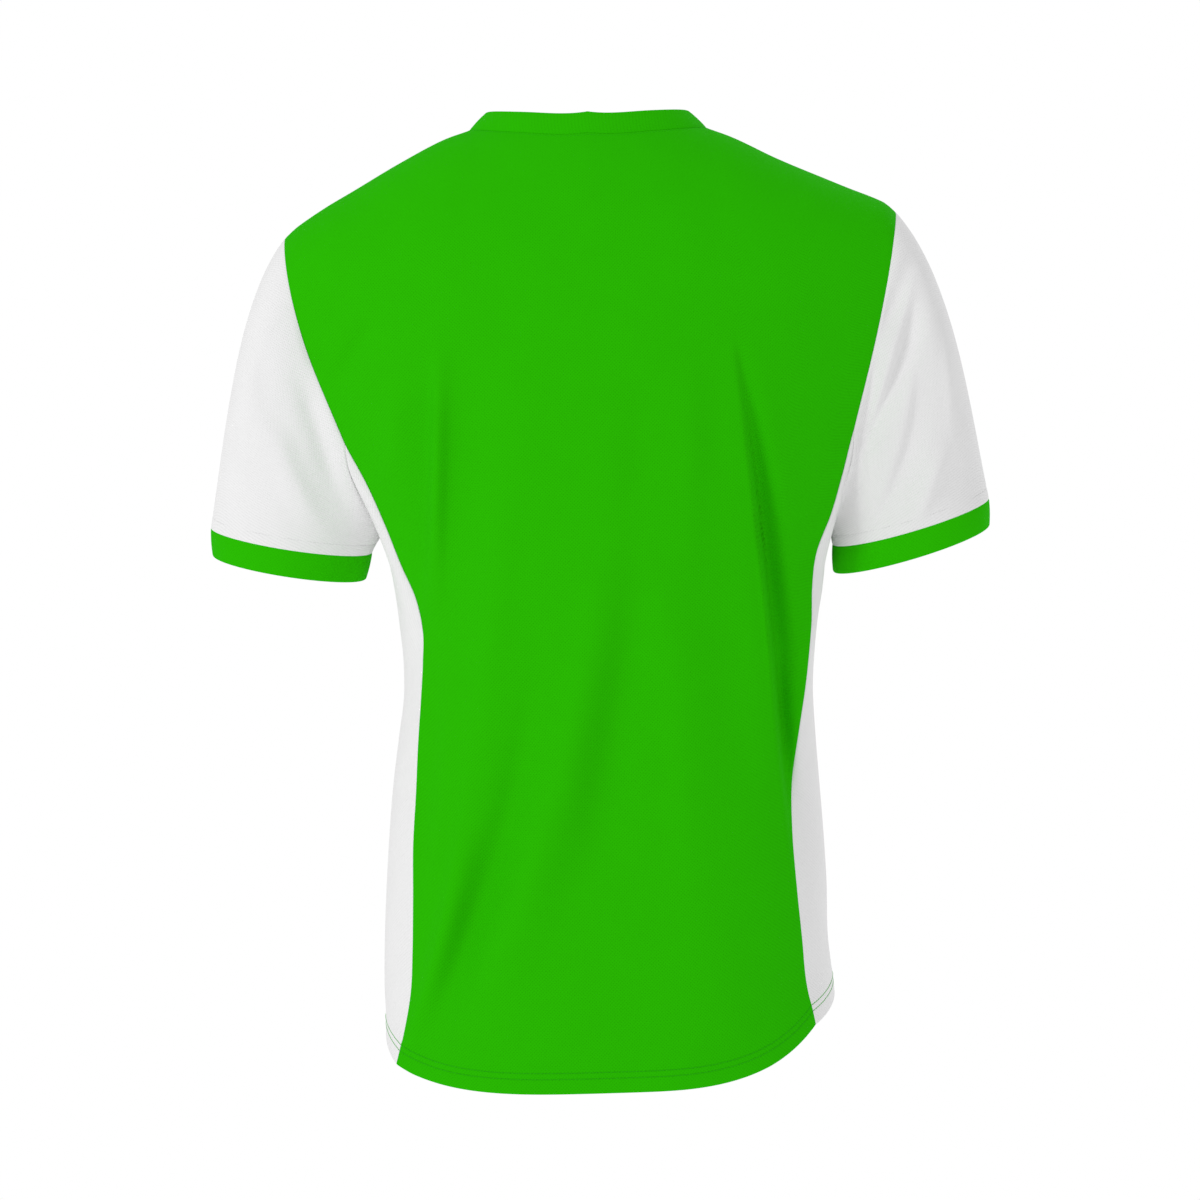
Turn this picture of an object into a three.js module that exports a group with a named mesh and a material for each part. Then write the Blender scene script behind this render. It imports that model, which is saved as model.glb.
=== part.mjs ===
// A short-sleeved football jersey, filled out as it is when worn, with nothing inside it.
//
// It is cut from nine pieces of knit: back, front, two side panels, two set-in sleeves, two cuff
// bands and a neck band. Each piece is a wall of cloth over a grid of points. Two pieces that are
// sewn together share the points of their seam, so the cloth turns smoothly from one to the next,
// and the wall of each stops half a seam gap short of that line.
//
// Millimetres. +Z is up, +X is the wearer's left and the front faces -Y. The origin lies midway
// between the two points where the neck seam crosses the shoulders, where a wearer carries it.
import * as THREE from "three";

const CLOTH = 1.2; // one layer of knit with the seam allowance that lies behind it
const DOUBLED = 2; // the folded knit of the cuffs and the neck band
const SEAM_GAP = 0.3;
const STEEPEST_MITRE = 0.5; // at a sharp seam the wall is at most the cloth divided by this

// The jersey hangs a little unevenly, as on a wearer who stands at ease, so the places that show it
// are given for the wearer's left and right. A width is measured out from the centre line.
const NOTCH_HEIGHT = -238; // where the sleeve leaves the edge of the back and the front
const ARMHOLE_DROP = 66; // from the notches down to the underarm
const ARMHOLES = {
  left: { tip: 233.5, notch: 189.5, hollow: 2.3 },
  right: { tip: 233, notch: 193, hollow: 1.76 },
};

const NECK_HALF_WIDTH = 91;
const NECK_SEAM = { back: -10, front: -82 }; // heights on the centre line
// The curve of the neck seam: the drop is its deepest times (1 - across ** wide) ** round.
const NECK_CURVE = { back: { wide: 2, round: 1 }, front: { wide: 2.5, round: 0.6 } };
const BAND_WIDTH = 19.5;
const BAND_LEAN = { back: 62, side: 45, front: 65 }; // degrees up from level

const HEM = {
  back: { centre: -723.2, left: -704, right: -683.5 },
  side: { left: -687, right: -665 },
  front: { centre: -708, left: -694, right: -675 },
};
const HEM_CURVE = { left: 4.3, right: 3.6 }; // how late the hem turns up towards the side seams

// The cuff seams: their centre, how far the outer end is tilted up in degrees, and how the band
// below them widens and leans out.
const CUFFS = {
  left: { x: 236.1, z: -307.6, tilt: 10.6, flare: 0.95, lean: 0.12 },
  right: { x: 238, z: -307.1, tilt: 15, flare: 1, lean: 0 },
};
const CUFF_Y = -3;
const CUFF_PITCH = 9.5; // degrees by which its front is higher than its back
const CUFF_HALF_WIDTH = 62.5;
const CUFF_HALF_DEPTH = 50;
const CUFF_HEIGHT = 20.9;
const CUFF_FORWARD_LEAN = 0.1;

// The ridge of the shoulders, from the centre line out to the tips. The last two columns are the
// radius with which the cloth rolls over the ridge to the back and to the front.
const SHOULDERS = [
  { x: 0, left: 24, right: 24, back: 136, front: 200 },
  { x: 45, left: 16.5, right: 15.3, back: 130, front: 185 },
  { x: 91, left: 0.8, right: -2.6, back: 116, front: 150 },
  { x: 110, left: -5.5, right: -10.2, back: 107, front: 135 },
  { x: 143, left: -21.8, right: -27.2, back: 91, front: 110 },
  { x: 181, left: -43, right: -44.3, back: 76, front: 88 },
  { x: 200, left: -53.5, right: -52.6, back: 70, front: 80 },
  { x: 215, left: -62.7, right: -58.8, back: 67, front: 76 },
  { x: 225, left: -69.5, right: -63.8, back: 65, front: 73 },
  { x: 233.5, left: -77, right: -71.5, back: 64, front: 72 },
];

// Depth of the body on its centre line, and how flat the panel is across: 2 is a plain arc.
const BODY = [
  { z: -730, back: 118, front: 127, flat: 2.8 },
  { z: -640, back: 114, front: 125, flat: 2.9 },
  { z: -560, back: 110, front: 124, flat: 3 },
  { z: -480, back: 108, front: 125, flat: 3 },
  { z: -400, back: 110, front: 128, flat: 2.8 },
  { z: -320, back: 114, front: 132, flat: 2.5 },
  { z: -250, back: 117, front: 132, flat: 2.4 },
  { z: -190, back: 116, front: 126, flat: 2.3 },
  { z: -130, back: 111, front: 112, flat: 2.3 },
  { z: -82, back: 105, front: 92, flat: 2.3 },
  { z: -40, back: 99, front: 90, flat: 2.2 },
  { z: 0, back: 94, front: 90, flat: 2.2 },
];

// The edges of the back and front panels: how far out they lie, the armhole above the notches
// included, and how deep on the back and on the front.
const PANEL_EDGE = [
  { z: -710, left: 166, right: 155, back: 60, front: 59 },
  { z: -680, left: 158, right: 150, back: 62, front: 60 },
  { z: -650, left: 152, right: 144.5, back: 64, front: 62 },
  { z: -620, left: 149.8, right: 142.5, back: 65, front: 63 },
  { z: -580, left: 148.2, right: 139.6, back: 65, front: 63 },
  { z: -540, left: 147, right: 137.6, back: 64, front: 62 },
  { z: -500, left: 143.8, right: 138.7, back: 62, front: 60 },
  { z: -460, left: 141, right: 145.4, back: 60, front: 58 },
  { z: -430, left: 138.3, right: 150.8, back: 59, front: 57 },
  { z: -400, left: 135.9, right: 154.9, back: 58, front: 56 },
  { z: -380, left: 135.2, right: 157, back: 57, front: 55 },
  { z: -355, left: 139.8, right: 158.1, back: 57, front: 54 },
  { z: -330, left: 150, right: 162, back: 56, front: 53 },
  { z: -300, left: 161, right: 174.3, back: 55, front: 52 },
  { z: -269, left: 173.8, right: 184, back: 55, front: 51 },
  { z: -238, left: 189.5, right: 193, back: 55, front: 50 },
  { z: -208, left: 203, right: 204.5, back: 55, front: 50 },
  { z: -177, left: 214.5, right: 212.5, back: 55, front: 50 },
  { z: -146, left: 223, right: 217.5, back: 55, front: 50 },
  { z: -116, left: 227, right: 223, back: 55, front: 50 },
  { z: -74, left: 233.5, right: 233, back: 55, front: 50 },
];

// How far out each side panel reaches at its fullest.
const SIDE_REACH = [
  { z: -710, left: 175, right: 170 },
  { z: -680, left: 174, right: 169 },
  { z: -650, left: 174.6, right: 167.3 },
  { z: -620, left: 173.7, right: 164.8 },
  { z: -580, left: 171.3, right: 165.1 },
  { z: -540, left: 168, right: 163.8 },
  { z: -500, left: 163.9, right: 161.7 },
  { z: -460, left: 158, right: 159.6 },
  { z: -430, left: 153.4, right: 158.9 },
  { z: -400, left: 153, right: 161.3 },
  { z: -380, left: 154.7, right: 164 },
  { z: -355, left: 157.2, right: 168.8 },
  { z: -330, left: 161, right: 171.8 },
  { z: -304, left: 166.5, right: 174.5 },
  { z: -238, left: 178, right: 182 },
];
const SIDE_FULLNESS = 0.5; // how soon a side panel turns round from its seams

// How the sleeve leaves the armhole, by its angle round the arm in degrees: 0 is the top of the
// sleeve, 90 its back, 180 the underarm and 270 its front.
const SLEEVE_RUN = [
  { angle: 0, outX: 0.63, outY: 0, outZ: -0.77, pull: 0.9 },
  { angle: 90, outX: 0.85, outY: 0.1, outZ: -0.5, pull: 0.85 },
  { angle: 180, outX: 0.25, outY: 0, outZ: -0.97, pull: 0.85 },
  { angle: 270, outX: 0.85, outY: -0.15, outZ: -0.5, pull: 0.85 },
  { angle: 360, outX: 0.63, outY: 0, outZ: -0.77, pull: 0.9 },
];
const SLEEVE_FULLNESS = { left: 0.88, right: 0.98 }; // how far each sleeve swings out
const CUFF_RUN = { x: 0.2, y: -0.12, z: -0.97, pull: 0.71 }; // and how it comes down to the cuff

// The largest folds, each a soft ridge or trough between two points as seen from behind or from
// the front. A positive rise lifts the cloth outwards.
const FOLDS = [
  { on: "back", x0: -107, z0: -180, x1: -141, z1: -620, rise: 8, spread: 16 },
  { on: "back", x0: -113, z0: -195, x1: -142, z1: -565, rise: -14, spread: 11 },
  { on: "back", x0: 122, z0: -180, x1: 133, z1: -400, rise: -5, spread: 12 },
  { on: "back", x0: 104, z0: -170, x1: 118, z1: -390, rise: 4.5, spread: 13 },
  { on: "back", x0: 42, z0: -370, x1: 136, z1: -690, rise: -8.5, spread: 17 },
  { on: "back", x0: 92, z0: -420, x1: 146, z1: -700, rise: 6, spread: 13 },
  { on: "back", x0: 4, z0: -350, x1: 82, z1: -660, rise: 7.5, spread: 20 },
  { on: "back", x0: -22, z0: -340, x1: 12, z1: -590, rise: -4, spread: 18 },
  { on: "back", x0: 66, z0: -230, x1: 96, z1: -480, rise: 3.5, spread: 14 },
  { on: "back", x0: -44, z0: -330, x1: -60, z1: -620, rise: 3.5, spread: 24 },
  { on: "front", x0: 104, z0: -180, x1: 128, z1: -590, rise: 7, spread: 17 },
  { on: "front", x0: 116, z0: -200, x1: 140, z1: -540, rise: -9, spread: 13 },
  { on: "front", x0: -118, z0: -190, x1: -130, z1: -430, rise: -4.5, spread: 12 },
  { on: "front", x0: -36, z0: -340, x1: -108, z1: -670, rise: -7.5, spread: 17 },
  { on: "front", x0: 6, z0: -310, x1: -64, z1: -640, rise: 7, spread: 21 },
  { on: "front", x0: 22, z0: -330, x1: 2, z1: -590, rise: -4, spread: 16 },
  { on: "back", x0: -240, z0: -115, x1: -205, z1: -255, rise: -7.5, spread: 10 },
  { on: "back", x0: -243, z0: -185, x1: -207, z1: -318, rise: -5, spread: 10 },
  { on: "back", x0: -263, z0: -240, x1: -240, z1: -312, rise: 4, spread: 9 },
  { on: "back", x0: 224, z0: -175, x1: 192, z1: -295, rise: -4, spread: 10 },
  { on: "back", x0: 244, z0: -215, x1: 208, z1: -312, rise: 4.5, spread: 12 },
  { on: "front", x0: 244, z0: -120, x1: 208, z1: -265, rise: -6, spread: 11 },
  { on: "front", x0: 262, z0: -215, x1: 238, z1: -305, rise: 3.5, spread: 10 },
  { on: "front", x0: -246, z0: -130, x1: -212, z1: -275, rise: -5.5, spread: 11 },
  { on: "front", x0: -266, z0: -205, x1: -242, z1: -300, rise: 3.5, spread: 10 },
];
const FOLD_FADE = 20; // a fold fades out over this depth as the cloth turns away at the side

// How finely each piece is divided.
const NECK_STEPS = 12; // half of the back or front neck
const NECK_CROWDING = 1.5; // how much closer these lie towards the shoulder seam
const SHOULDER_STEPS = 8; // one shoulder seam
const BODY_ROWS = 14; // hem to notch
const YOKE_ROWS = 9; // notch to shoulder
const SIDE_STEPS = 10; // across a side panel
const SLEEVE_ROWS = 10;
const CUFF_ROWS = 3;
const BAND_ROWS = 3;

const GREEN = { color: 0x27b000, roughness: 0.85, metalness: 0 };
const WHITE = { color: 0xececec, roughness: 0.85, metalness: 0 };

const { lerp, clamp, degToRad } = THREE.MathUtils;
const SIDES = [
  { name: "left", sign: 1 },
  { name: "right", sign: -1 },
];
const FACING = { back: 1, front: -1 };

// A smooth curve through one column of a table.
function curveThrough(table, key, column) {
  const rows = [...table].sort((a, b) => a[key] - b[key]);
  const spline = new THREE.CubicInterpolant(
    rows.map((row) => row[key]),
    rows.map((row) => row[column]),
    1,
  );
  return (value) => spline.evaluate(value)[0];
}

const ridgeHeight = {
  left: curveThrough(SHOULDERS, "x", "left"),
  right: curveThrough(SHOULDERS, "x", "right"),
};
const rollRadius = {
  back: curveThrough(SHOULDERS, "x", "back"),
  front: curveThrough(SHOULDERS, "x", "front"),
};
const centreDepth = {
  back: curveThrough(BODY, "z", "back"),
  front: curveThrough(BODY, "z", "front"),
};
const flatness = curveThrough(BODY, "z", "flat");
const edgeWidth = {
  left: curveThrough(PANEL_EDGE, "z", "left"),
  right: curveThrough(PANEL_EDGE, "z", "right"),
};
const edgeDepth = {
  back: curveThrough(PANEL_EDGE, "z", "back"),
  front: curveThrough(PANEL_EDGE, "z", "front"),
};
const sideReach = {
  left: curveThrough(SIDE_REACH, "z", "left"),
  right: curveThrough(SIDE_REACH, "z", "right"),
};

// Points of the back and front are placed by a share of the half width: 0 on the centre line, 1 at
// the wearer's left edge and -1 at the right one.
function sideOf(share) {
  return share > 0 ? "left" : "right";
}

function panelDepth(face, share, z) {
  const centre = centreDepth[face](z);
  const edge = edgeDepth[face](z);
  return centre - (centre - edge) * Math.abs(share) ** flatness(z);
}

function hemHeight(face, share) {
  const side = sideOf(share);
  return lerp(HEM[face].centre, HEM[face][side], Math.abs(share) ** HEM_CURVE[side]);
}

// The back or front below the notches: up is 0 at the hem and 1 at the notches.
function bodyPoint(face, share, up) {
  const z = lerp(hemHeight(face, share), NOTCH_HEIGHT, up);
  const x = share * edgeWidth[sideOf(share)](z);
  return new THREE.Vector3(x, FACING[face] * panelDepth(face, share, z), z);
}

// How far the neck seam lies from the ridge, as an angle of the roll over the shoulder.
function neckAngle(face, share) {
  const across = (Math.abs(share) * ARMHOLES[sideOf(share)].tip) / NECK_HALF_WIDTH;
  if (across >= 1) return 0;
  const { wide, round } = NECK_CURVE[face];
  const drop = (SHOULDERS[0].left - NECK_SEAM[face]) * (1 - across ** wide) ** round;
  return Math.acos(1 - drop / SHOULDERS[0][face]);
}

// The back or front above the notches, where it rolls over the ridge of the shoulder: up is 0 at
// the notches and 1 at the shoulder or neck seam. Its columns have one share at the notches and
// another at the top, so that they fan out from the neck.
function yokePoint(face, column, up) {
  const side = sideOf(column.top);
  const { tip, notch, hollow } = ARMHOLES[side];
  const notchX = Math.abs(column.low) * notch;
  const notchRadius = rollRadius[face](notchX);
  const notchDrop = ridgeHeight[side](notchX) - NOTCH_HEIGHT;
  const notchAngle = Math.PI / 2 + notchDrop / notchRadius - 1;
  const angle = lerp(notchAngle, neckAngle(face, column.top), up);
  const share = lerp(column.low, column.top, up);
  const width = Math.abs(share) * lerp(notch, tip, 1 - (1 - up) ** hollow);
  const radius = rollRadius[face](width);
  const rolled = Math.min(angle, Math.PI / 2);
  const straight = angle - rolled;
  const z = ridgeHeight[side](width) - radius * (1 - Math.cos(rolled) + straight);
  const depth = panelDepth(face, Math.min(1, width / edgeWidth[side](z)), z);
  return new THREE.Vector3(Math.sign(share) * width, FACING[face] * depth * Math.sin(rolled), z);
}

// Shares of the half width at which the columns of the back and front lie. Up to the notches their
// steps are even. At the top they are even round the neck, then even along the shoulder.
function halfColumns(side) {
  const neckShare = NECK_HALF_WIDTH / ARMHOLES[side.name].tip;
  const columns = [];
  for (let i = 1; i <= NECK_STEPS + SHOULDER_STEPS; i += 1) {
    const toCorner = Math.max(0, 1 - i / NECK_STEPS);
    const turn = (Math.PI / 2) * (1 - toCorner ** NECK_CROWDING);
    const pastCorner = Math.max(0, i - NECK_STEPS) / SHOULDER_STEPS;
    columns.push({
      low: (side.sign * i) / (NECK_STEPS + SHOULDER_STEPS),
      top: side.sign * lerp(neckShare * Math.sin(turn), 1, pastCorner),
    });
  }
  return columns;
}

function panelGrid(face) {
  const [leftHalf, rightHalf] = SIDES.map(halfColumns);
  const columns = [...rightHalf.reverse(), { low: 0, top: 0 }, ...leftHalf];
  const rows = [];
  for (let i = 0; i < BODY_ROWS; i += 1) {
    rows.push(columns.map((column) => bodyPoint(face, column.low, i / BODY_ROWS)));
  }
  for (let i = 0; i <= YOKE_ROWS; i += 1) {
    rows.push(columns.map((column) => yokePoint(face, column, i / YOKE_ROWS)));
  }
  return rows;
}

// A side panel runs from its seam with the back round to its seam with the front, and its top
// edge is the bottom of the armhole.
function sidePoint(side, up, around) {
  const turn = around * Math.PI;
  const share = (1 - Math.cos(turn)) / 2;
  const width = edgeWidth[side.name];
  const backZ = lerp(HEM.back[side.name], NOTCH_HEIGHT, up);
  const frontZ = lerp(HEM.front[side.name], NOTCH_HEIGHT, up);
  const hemRise = (HEM.back[side.name] + HEM.front[side.name]) / 2 - HEM.side[side.name];
  const sag = lerp(hemRise, ARMHOLE_DROP, up) * Math.sin(turn) ** lerp(2, 1, up);
  const z = lerp(backZ, frontZ, share) - sag;
  const depth = turn < Math.PI / 2 ? edgeDepth.back(backZ) : edgeDepth.front(frontZ);
  const inward = Math.cos(turn) ** 2;
  const seam = lerp(width(z), lerp(width(backZ), width(frontZ), share), inward);
  const fullness = SIDE_FULLNESS * (1 - up ** 3);
  const x = seam + (sideReach[side.name](z) - seam) * (1 - inward) * (1 + fullness * inward);
  return new THREE.Vector3(side.sign * x, depth * Math.cos(turn), z);
}

function edgeColumn(grid, side) {
  return grid.map((row) => (side.sign > 0 ? row[row.length - 1] : row[0]));
}

function sideGrid(side, backGrid, frontGrid) {
  const backEdge = edgeColumn(backGrid, side);
  const frontEdge = edgeColumn(frontGrid, side);
  const rows = [];
  for (let i = 0; i <= BODY_ROWS; i += 1) {
    const row = [backEdge[i]];
    for (let j = 1; j < SIDE_STEPS; j += 1) {
      row.push(sidePoint(side, i / BODY_ROWS, j / SIDE_STEPS));
    }
    row.push(frontEdge[i]);
    rows.push(row);
  }
  return rows;
}

// The armhole, from the shoulder tip down the back, under the arm and up the front.
function armholeLoop(side, backGrid, frontGrid, sidePanel) {
  const backEdge = edgeColumn(backGrid, side).slice(BODY_ROWS).reverse();
  const underarm = sidePanel[BODY_ROWS].slice(1, -1);
  const frontEdge = edgeColumn(frontGrid, side).slice(BODY_ROWS, -1);
  return [...backEdge, ...underarm, ...frontEdge];
}

// The angle round the arm of each point of the armhole, by its length along the back or front half.
function loopAngles(loop) {
  const bottom = YOKE_ROWS + SIDE_STEPS / 2;
  const lengths = [0];
  for (let i = 1; i <= loop.length; i += 1) {
    lengths.push(lengths[i - 1] + loop[i % loop.length].distanceTo(loop[i - 1]));
  }
  const total = lengths[loop.length];
  return loop.map((_, i) =>
    i <= bottom
      ? (180 * lengths[i]) / lengths[bottom]
      : 180 + (180 * (lengths[i] - lengths[bottom])) / (total - lengths[bottom]),
  );
}

// A point of the cuff seam, or of the cuff below it.
function cuffPoint(side, angle, down) {
  const cuff = CUFFS[side.name];
  const turn = degToRad(angle);
  const tilt = degToRad(cuff.tilt);
  const pitch = degToRad(CUFF_PITCH);
  const outward = new THREE.Vector3(Math.cos(tilt), 0, Math.sin(tilt));
  const backward = new THREE.Vector3(0, Math.cos(pitch), -Math.sin(pitch));
  const hang = new THREE.Vector3(cuff.lean, -CUFF_FORWARD_LEAN, -1).normalize();
  const size = lerp(1, cuff.flare, down / CUFF_HEIGHT);
  const point = new THREE.Vector3(cuff.x, CUFF_Y, cuff.z)
    .addScaledVector(outward, CUFF_HALF_WIDTH * size * Math.cos(turn))
    .addScaledVector(backward, CUFF_HALF_DEPTH * size * Math.sin(turn))
    .addScaledVector(hang, down);
  point.x *= side.sign;
  return point;
}

const sleeveOut = {
  x: curveThrough(SLEEVE_RUN, "angle", "outX"),
  y: curveThrough(SLEEVE_RUN, "angle", "outY"),
  z: curveThrough(SLEEVE_RUN, "angle", "outZ"),
  pull: curveThrough(SLEEVE_RUN, "angle", "pull"),
};

// One lengthwise line of the sleeve, from the armhole to the cuff seam.
function sleevePoint(side, start, angle, down) {
  const end = cuffPoint(side, angle, 0);
  const reach = start.distanceTo(end);
  const leave = new THREE.Vector3(
    side.sign * sleeveOut.x(angle),
    sleeveOut.y(angle),
    sleeveOut.z(angle),
  ).setLength(reach * sleeveOut.pull(angle) * SLEEVE_FULLNESS[side.name]);
  const arrive = new THREE.Vector3(side.sign * CUFF_RUN.x, CUFF_RUN.y, CUFF_RUN.z).setLength(
    reach * CUFF_RUN.pull,
  );
  const cube = down ** 3;
  const square = down ** 2;
  return new THREE.Vector3()
    .addScaledVector(start, 2 * cube - 3 * square + 1)
    .addScaledVector(leave, cube - 2 * square + down)
    .addScaledVector(end, 3 * square - 2 * cube)
    .addScaledVector(arrive, cube - square);
}

function sleeveGrid(side, loop) {
  const angles = loopAngles(loop);
  const rows = [loop];
  for (let i = 1; i <= SLEEVE_ROWS; i += 1) {
    rows.push(loop.map((start, j) => sleevePoint(side, start, angles[j], i / SLEEVE_ROWS)));
  }
  return rows;
}

function cuffGrid(side, loop, sleeve) {
  const angles = loopAngles(loop);
  const rows = [sleeve[SLEEVE_ROWS]];
  for (let i = 1; i <= CUFF_ROWS; i += 1) {
    rows.push(angles.map((angle) => cuffPoint(side, angle, (CUFF_HEIGHT * i) / CUFF_ROWS)));
  }
  return rows;
}

// The neck seam, across the back neck from the wearer's right to left, then back across the front.
function neckLoop(backGrid, frontGrid) {
  const top = backGrid.length - 1;
  const first = SHOULDER_STEPS;
  const last = SHOULDER_STEPS + 2 * NECK_STEPS;
  const back = backGrid[top].slice(first, last + 1);
  const front = frontGrid[top].slice(first + 1, last).reverse();
  return [...back, ...front];
}

// The band stands up from the neck seam and leans in over the opening.
function neckbandGrid(loop) {
  const reach = {
    back: Math.max(...loop.map((point) => point.y)),
    front: Math.min(...loop.map((point) => point.y)),
  };
  const rows = [loop];
  for (let i = 1; i <= BAND_ROWS; i += 1) {
    const width = (BAND_WIDTH * i) / BAND_ROWS;
    rows.push(
      loop.map((point) => {
        const face = point.y > 0 ? "back" : "front";
        const inward = new THREE.Vector3(
          -point.x / NECK_HALF_WIDTH ** 2,
          -point.y / reach[face] ** 2,
          0,
        ).normalize();
        const lean = degToRad(lerp(BAND_LEAN.side, BAND_LEAN[face], inward.y ** 2));
        return point
          .clone()
          .addScaledVector(inward, width * Math.cos(lean))
          .add(new THREE.Vector3(0, 0, width * Math.sin(lean)));
      }),
    );
  }
  return rows;
}

// Outward normals at the points of every grid. A point shared by some pieces gets their mean, in
// which each counts the same, and every piece also keeps its own.
function outwardNormals(pieces) {
  const normals = new Map();
  const across = new THREE.Vector3();
  const along = new THREE.Vector3();
  for (const piece of pieces) {
    const { grid, closed } = piece;
    const columns = grid[0].length;
    const faces = [];
    let outwards = 0;
    for (let i = 0; i + 1 < grid.length; i += 1) {
      for (let j = 0; j < (closed ? columns : columns - 1); j += 1) {
        const next = (j + 1) % columns;
        const corners = [grid[i][j], grid[i][next], grid[i + 1][next], grid[i + 1][j]];
        across.subVectors(corners[2], corners[0]);
        along.subVectors(corners[3], corners[1]);
        const normal = new THREE.Vector3().crossVectors(across, along);
        outwards += normal.dot(corners[0].clone().sub(piece.inside));
        faces.push({ corners, normal });
      }
    }
    piece.turned = outwards < 0;
    piece.normals = new Map();
    for (const { corners, normal } of faces) {
      if (piece.turned) normal.negate();
      for (const corner of corners) {
        if (!piece.normals.has(corner)) piece.normals.set(corner, new THREE.Vector3());
        piece.normals.get(corner).add(normal);
      }
    }
    for (const [point, normal] of piece.normals) {
      if (!normals.has(point)) normals.set(point, new THREE.Vector3());
      normals.get(point).add(normal.normalize());
    }
  }
  for (const normal of normals.values()) normal.normalize();
  return normals;
}

function foldRise(point) {
  let rise = 0;
  for (const fold of FOLDS) {
    const facing = clamp((point.y * FACING[fold.on]) / FOLD_FADE, 0, 1);
    const runX = fold.x1 - fold.x0;
    const runZ = fold.z1 - fold.z0;
    const length = Math.hypot(runX, runZ);
    const along = ((point.x - fold.x0) * runX + (point.z - fold.z0) * runZ) / length ** 2;
    const off = ((point.x - fold.x0) * runZ - (point.z - fold.z0) * runX) / length;
    if (along <= 0 || along >= 1) continue;
    rise += fold.rise * facing * Math.sin(Math.PI * along) * Math.exp(-((off / fold.spread) ** 2));
  }
  return rise;
}

function layFolds(pieces) {
  for (const [point, normal] of outwardNormals(pieces)) {
    point.addScaledVector(normal, foldRise(point));
  }
}

// How far the wall of a piece draws back from its seams at one point of its grid.
function drawBack(piece, normals, row, column) {
  const { grid, closed, seams } = piece;
  const point = grid[row][column];
  const columns = grid[0].length;
  const shift = new THREE.Vector3();
  const away = (neighbour, before, after) => {
    const run = new THREE.Vector3().subVectors(after, before);
    const direction = new THREE.Vector3().crossVectors(normals.get(point), run).normalize();
    if (direction.dot(new THREE.Vector3().subVectors(neighbour, point)) < 0) direction.negate();
    shift.addScaledVector(direction, SEAM_GAP / 2);
  };
  const wrap = (j) => (closed ? (j + columns) % columns : clamp(j, 0, columns - 1));
  const level = (i) => grid[clamp(i, 0, grid.length - 1)];
  if (row === 0 && seams.start) {
    away(grid[1][column], grid[0][wrap(column - 1)], grid[0][wrap(column + 1)]);
  }
  if (row === grid.length - 1 && seams.end) {
    away(grid[row - 1][column], grid[row][wrap(column - 1)], grid[row][wrap(column + 1)]);
  }
  if (!closed && (column === 0 || column === columns - 1)) {
    const inner = column === 0 ? 1 : columns - 2;
    away(grid[row][inner], level(row - 1)[column], level(row + 1)[column]);
  }
  return shift;
}

// The closed wall of a piece: its outer skin, its inner skin and the strip round each edge.
function wallGeometry(piece, normals) {
  const { grid, closed, thickness } = piece;
  const rows = grid.length;
  const columns = grid[0].length;
  const outer = [];
  const inner = [];
  for (let i = 0; i < rows; i += 1) {
    for (let j = 0; j < columns; j += 1) {
      const point = grid[i][j].clone().add(drawBack(piece, normals, i, j));
      outer.push(point);
      const normal = normals.get(grid[i][j]);
      const square = Math.max(STEEPEST_MITRE, normal.dot(piece.normals.get(grid[i][j])));
      inner.push(point.clone().addScaledVector(normal, -thickness / square));
    }
  }
  const index = [];
  const behind = rows * columns;
  const quad = (a, b, c, d) => {
    if (piece.turned) index.push(a, c, b, a, d, c);
    else index.push(a, b, c, a, c, d);
  };
  // Both skins of a square are split along the shorter diagonal of the outer one.
  const bothSkins = (a, b, c, d) => {
    quad(a, b, c, d);
    quad(behind + a, behind + d, behind + c, behind + b);
  };
  const at = (i, j) => i * columns + (j % columns);
  const steps = closed ? columns : columns - 1;
  for (let i = 0; i + 1 < rows; i += 1) {
    for (let j = 0; j < steps; j += 1) {
      const [a, b, c, d] = [at(i, j), at(i, j + 1), at(i + 1, j + 1), at(i + 1, j)];
      const shorter = outer[a].distanceTo(outer[c]) < outer[b].distanceTo(outer[d]);
      if (shorter) bothSkins(a, b, c, d);
      else bothSkins(b, c, d, a);
    }
  }
  for (let j = 0; j < steps; j += 1) {
    quad(at(0, j + 1), at(0, j), behind + at(0, j), behind + at(0, j + 1));
    const last = rows - 1;
    quad(at(last, j), at(last, j + 1), behind + at(last, j + 1), behind + at(last, j));
  }
  for (let i = 0; !closed && i + 1 < rows; i += 1) {
    const last = columns - 1;
    quad(at(i, 0), at(i + 1, 0), behind + at(i + 1, 0), behind + at(i, 0));
    quad(at(i + 1, last), at(i, last), behind + at(i, last), behind + at(i + 1, last));
  }
  const geometry = new THREE.BufferGeometry();
  geometry.setFromPoints([...outer, ...inner]);
  geometry.setIndex(index);
  geometry.computeVertexNormals();
  return geometry;
}

function meanPoint(grid) {
  const points = grid.flat();
  const sum = new THREE.Vector3();
  for (const point of points) sum.add(point);
  return sum.divideScalar(points.length);
}

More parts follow.
